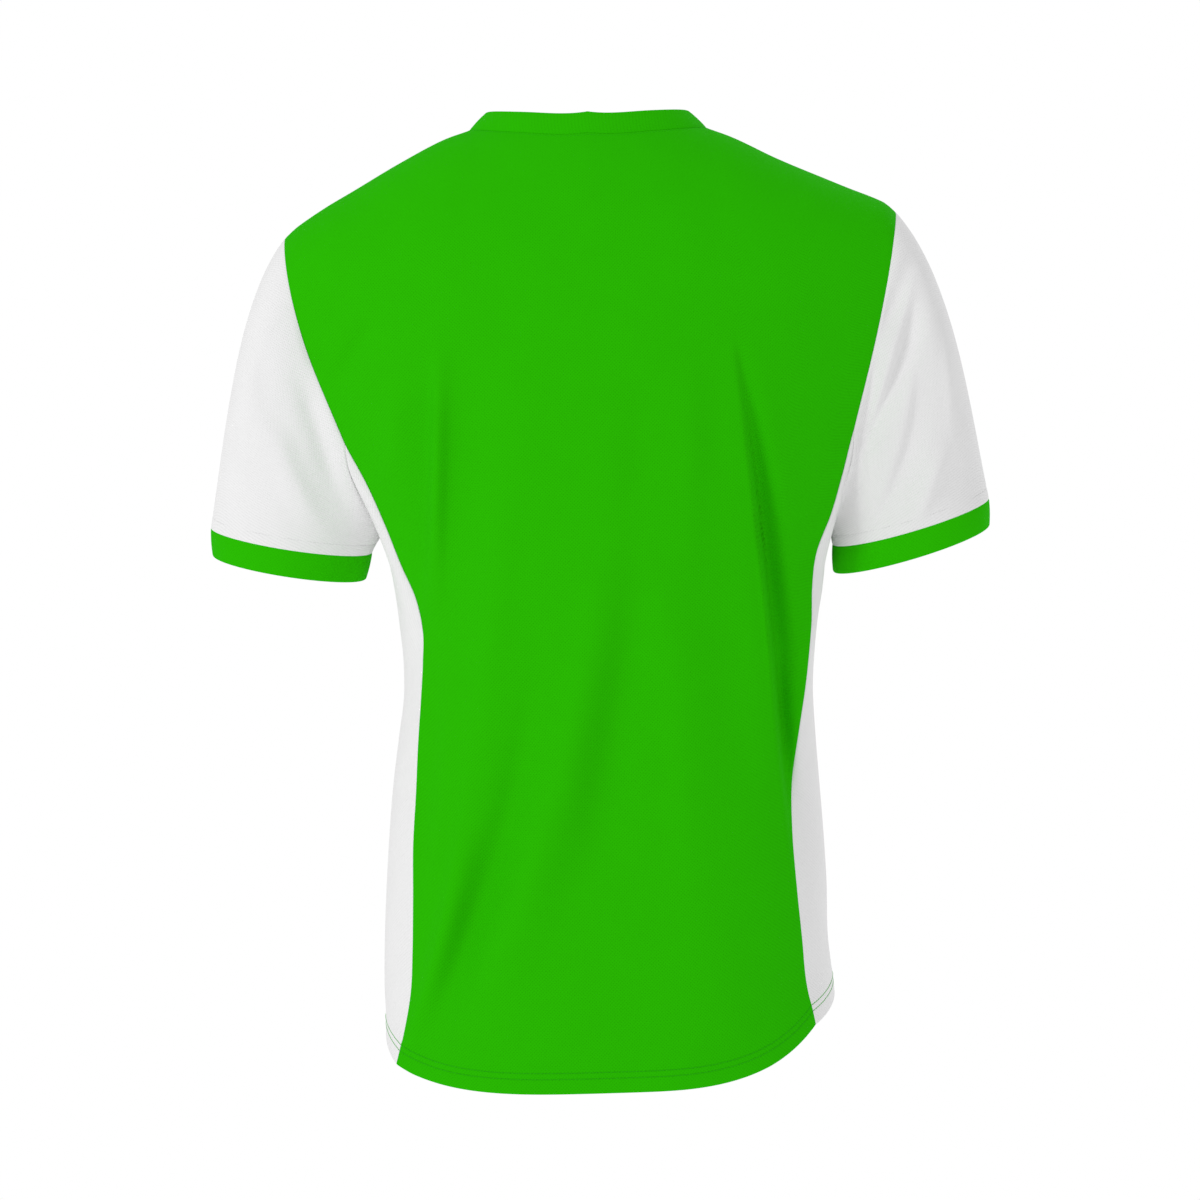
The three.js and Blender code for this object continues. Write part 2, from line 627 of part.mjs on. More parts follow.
// The pieces as a maker would lay them out, each with the edges that are sewn.
function jerseyPieces() {
  const middle = new THREE.Vector3(0, 0, (HEM.back.centre + NOTCH_HEIGHT) / 2);
  const backGrid = panelGrid("back");
  const frontGrid = panelGrid("front");
  const top = backGrid.length - 1;
  backGrid[top].forEach((point, j) => {
    const onShoulder = j <= SHOULDER_STEPS || j >= SHOULDER_STEPS + 2 * NECK_STEPS;
    if (onShoulder) frontGrid[top][j] = point;
  });
  const sewnTop = { start: false, end: true };
  const sewnBothEnds = { start: true, end: true };
  const sewnStart = { start: true, end: false };
  const panel = { inside: middle, closed: false, seams: sewnTop, thickness: CLOTH };
  const pieces = [
    { name: "back_panel", grid: backGrid, cloth: GREEN, ...panel },
    { name: "front_panel", grid: frontGrid, cloth: GREEN, ...panel },
  ];
  for (const side of SIDES) {
    const sidePanel = sideGrid(side, backGrid, frontGrid);
    const loop = armholeLoop(side, backGrid, frontGrid, sidePanel);
    const sleeve = sleeveGrid(side, loop);
    const cuff = cuffGrid(side, loop, sleeve);
    pieces.push(
      { name: `side_panel_${side.name}`, grid: sidePanel, cloth: WHITE, ...panel },
      {
        name: `sleeve_${side.name}`,
        grid: sleeve,
        cloth: WHITE,
        inside: meanPoint(sleeve),
        closed: true,
        seams: sewnBothEnds,
        thickness: CLOTH,
      },
      {
        name: `cuff_${side.name}`,
        grid: cuff,
        cloth: GREEN,
        inside: meanPoint(cuff),
        closed: true,
        seams: sewnStart,
        thickness: DOUBLED,
      },
    );
  }
  const neckband = neckbandGrid(neckLoop(backGrid, frontGrid));
  pieces.push({
    name: "neckband",
    grid: neckband,
    cloth: GREEN,
    inside: meanPoint(neckband),
    closed: true,
    seams: sewnStart,
    thickness: DOUBLED,
  });
  return pieces;
}

function buildJersey() {
  const pieces = jerseyPieces();
  layFolds(pieces);
  const normals = outwardNormals(pieces);
  const jersey = new THREE.Group();
  jersey.name = "football_jersey";
  for (const piece of pieces) {
    const cloth = new THREE.MeshStandardMaterial(piece.cloth);
    const mesh = new THREE.Mesh(wallGeometry(piece, normals), cloth);
    mesh.name = piece.name;
    jersey.add(mesh);
  }
  return jersey;
}

export default buildJersey();
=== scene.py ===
import math

import bpy
import numpy as np
from mathutils import Matrix, Vector


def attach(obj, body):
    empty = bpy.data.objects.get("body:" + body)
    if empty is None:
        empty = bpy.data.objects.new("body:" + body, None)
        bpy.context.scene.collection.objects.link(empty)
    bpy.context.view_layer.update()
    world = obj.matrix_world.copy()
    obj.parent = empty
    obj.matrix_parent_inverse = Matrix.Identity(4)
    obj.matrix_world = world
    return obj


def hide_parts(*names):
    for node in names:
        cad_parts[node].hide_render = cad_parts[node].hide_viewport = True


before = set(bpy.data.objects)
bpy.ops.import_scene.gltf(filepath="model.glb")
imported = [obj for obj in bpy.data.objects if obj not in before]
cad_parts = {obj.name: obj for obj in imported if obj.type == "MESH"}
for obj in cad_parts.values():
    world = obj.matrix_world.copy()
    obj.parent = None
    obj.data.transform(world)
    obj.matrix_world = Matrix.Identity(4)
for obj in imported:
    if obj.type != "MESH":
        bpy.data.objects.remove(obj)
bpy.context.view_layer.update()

# The studio. The jersey hangs in mid air, seen from behind and level with its middle, and leans a
# little. Soft light comes from its left, behind the camera, with a weaker one for its front, and
# the floor lies far enough below to stay out of that view.
CAMERA_DISTANCE = 3.0
CAMERA_HEIGHT = -0.3605
CAMERA_ACROSS = 0.0015
CAMERA_LEAN = math.radians(1.7)
VIEW_WIDTH = 0.918  # what the picture's width takes in at the jersey's middle plane

camera_data = bpy.data.cameras.new("camera")
camera_data.sensor_width = 36
camera_data.lens = camera_data.sensor_width * CAMERA_DISTANCE / VIEW_WIDTH
camera = bpy.data.objects.new("camera", camera_data)
upright, leaning = math.cos(CAMERA_LEAN), math.sin(CAMERA_LEAN)
camera.matrix_world = Matrix(
    (
        (-upright, -leaning, 0, CAMERA_ACROSS),
        (0, 0, 1, CAMERA_DISTANCE),
        (-leaning, upright, 0, CAMERA_HEIGHT),
        (0, 0, 0, 1),
    )
)
bpy.context.scene.collection.objects.link(camera)
bpy.context.scene.camera = camera
bpy.context.scene.view_settings.view_transform = "Standard"

STUDIO_LIGHT = 0.73  # what the surroundings shed on the jersey, against 1 for what is seen of them
world = bpy.data.worlds.new("studio")
bpy.context.scene.world = world
world.use_nodes = True
nodes, links = world.node_tree.nodes, world.node_tree.links
nodes.clear()
seen = nodes.new("ShaderNodeBackground")
seen.inputs["Color"].default_value = (1, 1, 1, 1)
seen.inputs["Strength"].default_value = 1.0
shed = nodes.new("ShaderNodeBackground")
shed.inputs["Color"].default_value = (1, 1, 1, 1)
shed.inputs["Strength"].default_value = STUDIO_LIGHT
ray = nodes.new("ShaderNodeLightPath")
either = nodes.new("ShaderNodeMixShader")
surroundings = nodes.new("ShaderNodeOutputWorld")
links.new(ray.outputs["Is Camera Ray"], either.inputs["Fac"])
links.new(shed.outputs["Background"], either.inputs[1])
links.new(seen.outputs["Background"], either.inputs[2])
links.new(either.outputs["Shader"], surroundings.inputs["Surface"])

LAMPS = {
    "back_softbox": {"place": (2.45, 2.25, 1.35), "size": 1.0, "power": 35},
    "front_softbox": {"place": (-2.0, -2.5, 1.2), "size": 1.2, "power": 20},
}
for name, lamp in LAMPS.items():
    light = bpy.data.lights.new(name, "AREA")
    light.size = lamp["size"]
    light.energy = lamp["power"]
    softbox = bpy.data.objects.new(name, light)
    aim = Vector((0, 0, CAMERA_HEIGHT)) - Vector(lamp["place"])
    softbox.location = lamp["place"]
    softbox.rotation_euler = aim.to_track_quat("-Z", "Y").to_euler()
    bpy.context.scene.collection.objects.link(softbox)

FLOOR_HEIGHT = -3.0
FLOOR_RADIUS = 8.5
FLOOR_SIDES = 96
round_floor = [
    (
        FLOOR_RADIUS * math.cos(2 * math.pi * i / FLOOR_SIDES),
        FLOOR_RADIUS * math.sin(2 * math.pi * i / FLOOR_SIDES),
        FLOOR_HEIGHT,
    )
    for i in range(FLOOR_SIDES)
]
floor_mesh = bpy.data.meshes.new("floor")
floor_mesh.from_pydata(round_floor, [], [list(range(FLOOR_SIDES))])
floor = bpy.data.objects.new("floor", floor_mesh)
bpy.context.scene.collection.objects.link(floor)

pale = bpy.data.materials.new("pale_floor")
pale.use_nodes = True
nodes, links = pale.node_tree.nodes, pale.node_tree.links
pale_shader = nodes["Principled BSDF"]
pale_shader.inputs["Base Color"].default_value = (0.9, 0.9, 0.9, 1)
pale_shader.inputs["Roughness"].default_value = 0.9
pale_shader.inputs["Specular IOR Level"].default_value = 0.1
# The floor glows as well as reflecting: painted light, dimmer near its middle and brighter towards its
# rim, which also sheds light from below.
pale_shader.inputs["Emission Strength"].default_value = 1.0
floor_place = nodes.new("ShaderNodeTexCoord")
from_centre = nodes.new("ShaderNodeVectorMath")
from_centre.operation = "DISTANCE"
from_centre.inputs[1].default_value = (0, 0, FLOOR_HEIGHT)
floor_glow = nodes.new("ShaderNodeMapRange")
floor_glow.inputs["From Min"].default_value = 1.5
floor_glow.inputs["From Max"].default_value = FLOOR_RADIUS
floor_glow.inputs["To Min"].default_value = 0.25
floor_glow.inputs["To Max"].default_value = 0.55
links.new(floor_place.outputs["Object"], from_centre.inputs[0])
links.new(from_centre.outputs["Value"], floor_glow.inputs["Value"])
links.new(floor_glow.outputs["Result"], pale_shader.inputs["Emission Color"])
floor_mesh.materials.append(pale)

# Back panel: one piece of green birdseye mesh knit from the hem to the shoulder seams, with a
# dropped tail. Its sides are sewn to the side panels up to a notch and to the sleeves above it.
# Its folds come from the way it hangs over the hips, deepest down the wearer's right side.
MM = 0.001
CLOTH = 1.0  # millimetres, as all sizes of the cloth
NOTCH_HEIGHT = -238
NOTCH_UPPER = {"left": (233.5, 189.5, 2.3), "right": (233, 193, 1.76)}  # tip, notch, hollow
NECK_HALF_WIDTH = 91
NECK_DROP = {"back": 34, "front": 106}
NECK_CURVE = {"back": (2, 1), "front": (2.5, 0.6)}
NECK_CROWDING = 1.5
NECK_COLUMNS = 0.6  # the share of the columns that end at the neck
HEM = {
    "back": {"centre": -723.2, "left": -704, "right": -683.5},
    "front": {"centre": -708, "left": -694, "right": -675},
}
HEM_CURVE = {"left": 4.3, "right": 3.6}
FACING = {"back": 1, "front": -1}

SHOULDERS = {
    "x": (0, 45, 91, 110, 143, 181, 200, 215, 225, 233.5),
    "left": (24, 16.5, 0.8, -5.5, -21.8, -43, -53.5, -62.7, -69.5, -77),
    "right": (24, 15.3, -2.6, -10.2, -27.2, -44.3, -52.6, -58.8, -63.8, -71.5),
    "back": (136, 130, 116, 107, 91, 76, 70, 67, 65, 64),
    "front": (200, 185, 150, 135, 110, 88, 80, 76, 73, 72),
}
BODY = {
    "z": (-730, -640, -560, -480, -400, -320, -250, -190, -130, -82, -40, 0),
    "back": (118, 114, 110, 108, 110, 114, 117, 116, 111, 105, 99, 94),
    "front": (127, 125, 124, 125, 128, 132, 132, 126, 112, 92, 90, 90),
    "flat": (2.8, 2.9, 3, 3, 2.8, 2.5, 2.4, 2.3, 2.3, 2.3, 2.2, 2.2),
}
EDGE = {
    "z": (-710, -680, -650, -620, -580, -540, -500, -460, -430, -400, -380)
    + (-355, -330, -300, -269, -238, -208, -177, -146, -116, -74),
    "left": (166, 158, 152, 149.8, 148.2, 147, 143.8, 141, 138.3, 135.9, 135.2)
    + (139.8, 150, 161, 173.8, 189.5, 203, 214.5, 223, 227, 233.5),
    "right": (155, 150, 144.5, 142.5, 139.6, 137.6, 138.7, 145.4, 150.8, 154.9, 157)
    + (158.1, 162, 174.3, 184, 193, 204.5, 212.5, 217.5, 223, 233),
    "back": (60, 62, 64, 65, 65, 64, 62, 60, 59, 58, 57)
    + (57, 56, 55, 55, 55, 55, 55, 55, 55, 55),
    "front": (59, 60, 62, 63, 63, 62, 60, 58, 57, 56, 55)
    + (54, 53, 52, 51, 50, 50, 50, 50, 50, 50),
}

# Each fold is a ridge, or a trough where its rise is negative, along a curve through three points
# as seen from behind. Its spread towards the wearer's left and right is given for its lower end,
# "open" is how wide its upper end is against that, and "peak" is where it is highest.
FOLD_COLUMNS = ("x0", "z0", "x1", "z1", "x2", "z2", "rise", "left", "right", "open", "peak")
BACK_FOLDS = (
    (-102, -160, -118, -340, -139, -640, 6, 30, 4.5, 0.5, 0.55),
    (-103, -190, -119, -345, -136, -600, 1.6, 3, 3, 0.8, 0.6),
    (-104, -165, -122.5, -330, -136.5, -560, -14.5, 3.2, 14, 0.6, 0.5),
    (-127, -400, -130.5, -455, -135, -520, -8, 3, 7, 1, 0.5),
    (122, -175, 129, -280, 138, -385, -3, 16, 4, 0.9, 0.5),
    (115, -155, 122, -270, 131, -380, 7.5, 4, 13, 0.9, 0.5),
    (104, -165, 110, -270, 115, -390, -4.5, 8, 26, 1, 0.5),
    (149, -180, 153, -235, 157, -285, 3, 8, 12, 1, 0.5),
    (156, -135, 176, -165, 197, -205, -3.6, 9, 9, 1, 0.5),
    (-40, -180, -30, -260, -22, -345, -1.6, 14, 14, 1, 0.5),
    (-74, -175, -69, -250, -62, -345, 2, 13, 13, 1, 0.45),
    (-10, -290, 31, -490, 96, -665, 8.5, 19, 23, 0.8, 0.55),
    (46, -310, 69, -500, 156, -712, -10.5, 17, 17, 0.7, 0.7),
    (97, -420, 110, -530, 161, -708, 9.5, 7.5, 16, 0.7, 0.7),
    (124, -395, 133, -490, 148, -600, -4, 12, 7, 1, 0.5),
    (58, -215, 78, -345, 101, -510, 3.6, 15, 14, 1, 0.6),
    (-28, -320, -8, -450, 14, -585, -4, 18, 17, 0.8, 0.5),
    (-44, -330, -58, -460, -60, -620, 3.6, 18, 30, 0.8, 0.5),
)
FOLD_FADE = 20  # a fold fades out over this depth as the cloth turns away at the side
FOLD_SWELL = 1.2  # how much a fold's height gathers at its peak
WOBBLE_DEPTH_RUN = 0.02
WOBBLES = (  # slight unevenness of the cloth: runs along x and z, shift, height
    (0.071, 0.023, 0.4, 0.22),
    (-0.043, 0.058, 1.9, 0.2),
    (0.102, -0.037, 3.1, 0.12),
    (0.021, 0.097, 5.2, 0.14),
)


def through(table, column, at, key="z"):
    """A smooth curve through one column of a table, held level past its ends."""
    order = np.argsort(table[key])
    places = np.array(table[key], float)[order]
    sizes = np.array(table[column], float)[order]
    slopes = np.diff(sizes) / np.diff(places)
    turns = np.concatenate([slopes[:1], (slopes[:-1] + slopes[1:]) / 2, slopes[-1:]])
    at = np.clip(at, places[0], places[-1])
    low = np.clip(np.searchsorted(places, at, side="right") - 1, 0, len(places) - 2)
    span = places[low + 1] - places[low]
    t = (at - places[low]) / span
    cube, square = t**3, t**2
    return (
        sizes[low] * (2 * cube - 3 * square + 1)
        + span * turns[low] * (cube - 2 * square + t)
        + sizes[low + 1] * (3 * square - 2 * cube)
        + span * turns[low + 1] * (cube - square)
    )


def blended(start, end, share):
    return start + (end - start) * share


def on_side(share, left, right):
    return np.where(share > 0, left, right)


def edge_width(share, z):
    return on_side(share, through(EDGE, "left", z), through(EDGE, "right", z))


def panel_depth(face, share, z):
    centre = through(BODY, face, z)
    edge = through(EDGE, face, z)
    return centre - (centre - edge) * np.abs(share) ** through(BODY, "flat", z)


def hem_height(face, share):
    corner = on_side(share, HEM[face]["left"], HEM[face]["right"])
    late = on_side(share, HEM_CURVE["left"], HEM_CURVE["right"])
    return blended(HEM[face]["centre"], corner, np.abs(share) ** late)


def body_points(face, share, up):
    """A panel below its notches, where up runs from 0 at the hem to 1 at the notches."""
    z = blended(hem_height(face, share), NOTCH_HEIGHT, up)
    x = share * edge_width(share, z)
    return np.stack([x, FACING[face] * panel_depth(face, share, z), z], -1)


def neck_angle(face, share):
    tip = on_side(share, NOTCH_UPPER["left"][0], NOTCH_UPPER["right"][0])
    across = np.minimum(1, np.abs(share) * tip / NECK_HALF_WIDTH)
    wide, rounded = NECK_CURVE[face]
    drop = NECK_DROP[face] * (1 - across**wide) ** rounded
    return np.arccos(1 - drop / SHOULDERS[face][0])


def top_share(low):
    """Where a column that starts at this share of the half width ends at the neck or shoulder."""
    size = np.abs(low)
    to_corner = np.maximum(0, 1 - size / NECK_COLUMNS)
    turn = math.pi / 2 * (1 - to_corner**NECK_CROWDING)
    past_corner = np.maximum(0, size - NECK_COLUMNS) / (1 - NECK_COLUMNS)
    tip = on_side(low, NOTCH_UPPER["left"][0], NOTCH_UPPER["right"][0])
    neck = NECK_HALF_WIDTH / tip * np.sin(turn)
    return np.sign(low) * blended(neck, 1, past_corner)


def ridge(share, x):
    left = through(SHOULDERS, "left", x, "x")
    return on_side(share, left, through(SHOULDERS, "right", x, "x"))


def yoke_points(face, low, up):
    """A panel above its notches, where it rolls over the shoulder to its seam at up = 1."""
    tip, notch, hollow = (
        on_side(low, a, b) for a, b in zip(NOTCH_UPPER["left"], NOTCH_UPPER["right"])
    )
    top = top_share(low)
    notch_x = np.abs(low) * notch
    notch_drop = ridge(low, notch_x) - NOTCH_HEIGHT
    notch_angle = math.pi / 2 - 1 + notch_drop / through(SHOULDERS, face, notch_x, "x")
    angle = blended(notch_angle, neck_angle(face, top), up)
    width = np.abs(blended(low, top, up)) * blended(notch, tip, 1 - (1 - up) ** hollow)
    radius = through(SHOULDERS, face, width, "x")
    rolled = np.minimum(angle, math.pi / 2)
    z = ridge(low, width) - radius * (1 - np.cos(rolled) + angle - rolled)
    depth = panel_depth(face, np.minimum(1, width / edge_width(low, z)), z)
    return np.stack([np.sign(low) * width, FACING[face] * depth * np.sin(rolled), z], -1)


def steps(count, length, fine):
    """Even steps from 0 to 1 over a length, with closer ones at some distances from its ends."""
    close = [abs(d) / length if d > 0 else 1 + d / length for d in fine]
    even = [
        i / count
        for i in range(count + 1)
        if i in (0, count) or min(abs(i / count - c) for c in close) > 0.5 / count
    ]
    return np.array(sorted({*even, *close}))


def folded(points, folds, face):
    """The points with each fold of one face laid into them, straight out or in."""
    x, y, z = np.moveaxis(points, -1, 0)
    rise = np.zeros_like(x)
    for row in folds:
        fold = dict(zip(FOLD_COLUMNS, row))
        along = (fold["z0"] - z) / (fold["z0"] - fold["z2"])
        middle = (fold["z0"] - fold["z1"]) / (fold["z0"] - fold["z2"])
        inside = np.clip(along, 0, 1)
        bow = fold["x1"] - blended(fold["x0"], fold["x2"], middle)
        bow = bow / (middle * (1 - middle))
        line = blended(fold["x0"], fold["x2"], inside) + bow * inside * (1 - inside)
        lean = (fold["x2"] - fold["x0"] + bow * (1 - 2 * inside)) / (fold["z0"] - fold["z2"])
        off = (x - line) / np.sqrt(1 + lean**2)
        spread = np.where(off > 0, fold["left"], fold["right"])
        spread = spread * blended(fold["open"], 1, inside)
        swell = np.sin(math.pi * inside ** (math.log(0.5) / math.log(fold["peak"])))
        rise += fold["rise"] * swell**FOLD_SWELL * np.exp(-((off / spread) ** 2))
    facing = np.clip(FACING[face] * y / FOLD_FADE, 0, 1)
    moved = points.copy()
    moved[..., 1] += FACING[face] * rise * facing
    return moved


def wobbled(points):
    x, y, z = np.moveaxis(points, -1, 0)
    shifted = WOBBLE_DEPTH_RUN * y
    rise = sum(h * np.sin(a * x + b * z + c + shifted) for a, b, c, h in WOBBLES)
    moved = points.copy()
    moved[..., 1] += np.sign(y) * rise * np.clip(np.abs(y) / FOLD_FADE, 0, 1)
    return moved


def run_length(points, axis):
    """How far each point lies along its row or column."""
    gaps = np.linalg.norm(np.diff(points, axis=axis), axis=-1)
    start = np.zeros_like(np.take(gaps, [0], axis))
    return np.concatenate([start, np.cumsum(gaps, axis)], axis)


def outward(points, core, around=False):
    """Unit normals of a grid of points, away from the core."""
    wide = np.concatenate([points[:, -1:], points, points[:, :1]], 1) if around else points
    across = np.gradient(wide, axis=1)
    if around:
        across = across[:, 1:-1]
    normal = np.cross(across, np.gradient(points, axis=0))
    normal /= np.maximum(np.linalg.norm(normal, axis=-1, keepdims=True), 1e-9)
    if (normal * (points - np.array(core))).sum() < 0:
        normal = -normal
    return normal


SEAM_DIP = 0.22  # how far a seam pulls the cloth in, and over what distance
SEAM_REACH = 0.9
SEAM_FINE = (0.45, 1.0, 1.7, 2.8, 4.6, 5.6)
ALLOWANCE = 5  # width of the cloth turned in at each seam, and how much it thickens the inside
ALLOWANCE_CLOTH = 0.7
ALLOWANCE_SOFTNESS = 0.25
HEM_TURNED = 18  # width of the hem that is turned up inside
HEM_SOFTNESS = 0.7
HEM_STANDS_OUT = 0.5
HEM_ROWS = (11, 15.5)  # the two rows of the cover stitch, up from the edge
HEM_FINE = (0.3, 0.7, 1.2, 2.2, 4.5, 7.5, 9.6, 10.4, 11, 11.6, 12.4, 13.3)
HEM_FINE += (14.1, 14.9, 15.5, 16.1, 16.9, 18, 19)
ROW_DIP = 0.22  # how far a row of stitches pulls the hem in, and over what distance
ROW_REACH = 0.75
TURNED_CLOTH = 1.9
FOLD_ROUNDING = {"share": 0.6, "more": 0.3, "taper": 0.94}  # of a folded edge


def from_seam(distance):
    return SEAM_DIP * np.exp(-((distance / SEAM_REACH) ** 2))


def turned_in(distance, width, softness):
    """1 where the cloth is turned in beside an edge, falling softly to 0 past that width."""
    return 1 / (1 + np.exp(np.clip((distance - width) / softness, -50, 50)))


def allowance(*distances):
    """How much the cloth turned in at the nearest of some seams thickens the wall."""
    nearest = np.minimum.reduce(np.broadcast_arrays(*distances))
    return ALLOWANCE_CLOTH * turned_in(nearest, ALLOWANCE, ALLOWANCE_SOFTNESS)


def rounded_edge(distance, thickness):
    """The share of its thickness that the cloth keeps this near to a folded edge."""
    reach = FOLD_ROUNDING["share"] * thickness + FOLD_ROUNDING["more"]
    near = np.clip(1 - distance / reach, 0, 1)
    return np.sqrt(1 - FOLD_ROUNDING["taper"] * near**2)


def hemmed(up_length):
    """How far the hem's surface lies in, and how thick it is, at a distance from its edge."""
    turned = turned_in(up_length, HEM_TURNED, HEM_SOFTNESS)
    thickness = blended(CLOTH, TURNED_CLOTH, turned)
    kept = rounded_edge(up_length, TURNED_CLOTH)
    dip = thickness * (1 - kept) / 2 - HEM_STANDS_OUT * turned
    for row in HEM_ROWS:
        dip = dip + ROW_DIP * np.exp(-(((up_length - row) / ROW_REACH) ** 2))
    return dip, thickness * kept


def cloth_wall(name, skin, normal, thickness, around=False):
    """A closed wall of cloth behind its outer skin, with a map of the cloth in metres."""
    rows, across = skin.shape[:2]
    inner = skin - thickness[..., None] * normal
    place = np.arange(rows * across).reshape(rows, across)
    u = run_length(skin, 1)
    v = run_length(skin, 0)
    if around:
        last = u[:, -1:] + np.linalg.norm(skin[:, :1] - skin[:, -1:], axis=-1)
        place = np.concatenate([place, place[:, :1]], 1)
        u = np.concatenate([u, last], 1)
        v = np.concatenate([v, v[:, :1]], 1)
    middle = u.shape[1] // 2
    map_at = np.stack([u - u[:, middle : middle + 1], v], -1) * MM
    corners = ((0, 0), (0, 1), (1, 1), (1, 0))

    def quads(grid):
        r, c = grid.shape[:2]
        parts = [grid[i : r - 1 + i, j : c - 1 + j] for i, j in corners]
        return np.stack(parts, 2).reshape(-1, 4, *grid.shape[2:])

    outer_quads, outer_map = quads(place), quads(map_at)
    behind = rows * across
    faces = [outer_quads, outer_quads[:, ::-1] + behind]
    maps = [outer_map, outer_map[:, ::-1]]
    rims = [(place[0][::-1], map_at[0][::-1]), (place[-1], map_at[-1])]
    if not around:
        rims += [(place[:, 0], map_at[:, 0]), (place[::-1, -1], map_at[::-1, -1])]
    for edge, edge_map in rims:
        faces.append(np.stack([edge[:-1], edge[1:], edge[1:] + behind, edge[:-1] + behind], 1))
        maps.append(np.stack([edge_map[:-1], edge_map[1:], edge_map[1:], edge_map[:-1]], 1))
    faces, maps = np.concatenate(faces), np.concatenate(maps)
    first = skin.reshape(-1, 3)[outer_quads[0]]
    if np.dot(np.cross(first[1] - first[0], first[3] - first[0]), normal[0, 0]) < 0:
        faces, maps = faces[:, ::-1], maps[:, ::-1]
    mesh = bpy.data.meshes.new(name)
    mesh.from_pydata(np.concatenate([skin.reshape(-1, 3), inner.reshape(-1, 3)]) * MM, [], faces)
    mesh.polygons.foreach_set("use_smooth", [True] * len(mesh.polygons))
    mesh.uv_layers.new(name="cloth").uv.foreach_set("vector", maps.reshape(-1))
    mesh.validate()
    piece = bpy.data.objects.new(name, mesh)
    bpy.context.scene.collection.objects.link(piece)
    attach(piece, "root")
    return piece


# The knit has staggered pin holes between fine upright wales.
KNIT_PITCH = 0.0026
WALE_PITCH = 0.00052


def math_node(tree, operation, first, second=None, third=None):
    node = tree.nodes.new("ShaderNodeMath")
    node.operation = operation
    for socket, value in zip(node.inputs, (first, second, third)):
        if value is None:
            continue
        if isinstance(value, (int, float)):
            socket.default_value = value
        else:
            tree.links.new(value, socket)
    return node.outputs["Value"]


knit = bpy.data.node_groups.new("birdseye_knit", "ShaderNodeTree")
for socket_name, kind in (("Color", "NodeSocketColor"), ("Hole Shade", "NodeSocketFloat")):
    knit.interface.new_socket(socket_name, in_out="INPUT", socket_type=kind)
for socket_name, kind in (("Color", "NodeSocketColor"), ("Height", "NodeSocketFloat")):
    knit.interface.new_socket(socket_name, in_out="OUTPUT", socket_type=kind)
given = knit.nodes.new("NodeGroupInput")
made = knit.nodes.new("NodeGroupOutput")
cloth_map = knit.nodes.new("ShaderNodeUVMap")
cloth_map.uv_map = "cloth"
parts = knit.nodes.new("ShaderNodeSeparateXYZ")
knit.links.new(cloth_map.outputs["UV"], parts.inputs["Vector"])
full_turn = 2 * math.pi
across_wave = math_node(
    knit, "COSINE", math_node(knit, "MULTIPLY", parts.outputs["X"], full_turn / KNIT_PITCH)
)
up_wave = math_node(
    knit, "COSINE", math_node(knit, "MULTIPLY", parts.outputs["Y"], full_turn / KNIT_PITCH)
)
wale = math_node(
    knit, "COSINE", math_node(knit, "MULTIPLY", parts.outputs["X"], full_turn / WALE_PITCH)
)
hole = knit.nodes.new("ShaderNodeMapRange")
hole.interpolation_type = "SMOOTHSTEP"
hole.inputs["From Min"].default_value = 0.15
hole.inputs["From Max"].default_value = 0.85
knit.links.new(math_node(knit, "MULTIPLY", across_wave, up_wave), hole.inputs["Value"])
cloudy = knit.nodes.new("ShaderNodeTexNoise")
cloudy.inputs["Scale"].default_value = 38
cloudy.inputs["Detail"].default_value = 4
knit.links.new(cloth_map.outputs["UV"], cloudy.inputs["Vector"])
# The pin holes are painted darker by Hole Shade: painted shade in them, on top of their dip in the
# height. The cloudy noise is the cloth's own uneven tone.
shade = math_node(
    knit,
    "SUBTRACT",
    math_node(knit, "MULTIPLY_ADD", cloudy.outputs["Fac"], 0.04, 0.98),
    math_node(knit, "MULTIPLY", hole.outputs["Result"], given.outputs["Hole Shade"]),
)
dyed = knit.nodes.new("ShaderNodeVectorMath")
dyed.operation = "SCALE"
knit.links.new(given.outputs["Color"], dyed.inputs[0])
knit.links.new(shade, dyed.inputs["Scale"])
knit.links.new(dyed.outputs["Vector"], made.inputs["Color"])
height = math_node(
    knit, "SUBTRACT", math_node(knit, "MULTIPLY", wale, 0.12), hole.outputs["Result"]
)
knit.links.new(height, made.inputs["Height"])


def knit_material(name, color, sheen_tint, hole_shade=0.1, relief=0.00012):
    """Polyester knit: matt, with almost no highlight and a faint bloom of fibre at grazing."""
    material = bpy.data.materials.new(name)
    material.use_nodes = True
    tree = material.node_tree
    shader = tree.nodes["Principled BSDF"]
    shader.inputs["Roughness"].default_value = 0.82
    shader.inputs["Specular IOR Level"].default_value = 0.02
    shader.inputs["Sheen Weight"].default_value = 0.02
    shader.inputs["Sheen Roughness"].default_value = 0.5
    shader.inputs["Sheen Tint"].default_value = (*sheen_tint, 1)
    surface = tree.nodes.new("ShaderNodeGroup")
    surface.node_tree = knit
    surface.inputs["Color"].default_value = (*color, 1)
    surface.inputs["Hole Shade"].default_value = hole_shade
    bump = tree.nodes.new("ShaderNodeBump")
    bump.inputs["Distance"].default_value = relief
    bump.inputs["Strength"].default_value = 0.8
    tree.links.new(surface.outputs["Color"], shader.inputs["Base Color"])
    tree.links.new(surface.outputs["Height"], bump.inputs["Height"])
    tree.links.new(bump.outputs["Normal"], shader.inputs["Normal"])
    return material


GREEN = (0.0215, 0.466, 0.0002)
GREEN_BLOOM = (0.04, 0.9, 0.0)
green_knit = knit_material("green_knit", GREEN, GREEN_BLOOM)

PANEL_COLUMNS = {"count": 92, "length": 190}  # half the panel's width
BODY_ROWS = {"count": 118, "length": 480}
YOKE_ROWS = {"count": 68, "length": 290}
BODY_CORE = (0, 0, -450)
half = steps(**PANEL_COLUMNS, fine=[-d for d in SEAM_FINE])
PANEL_SHARES = np.concatenate([-half[:0:-1], half])
BODY_UPS = steps(**BODY_ROWS, fine=HEM_FINE)
YOKE_UPS = steps(**YOKE_ROWS, fine=[-d for d in SEAM_FINE])


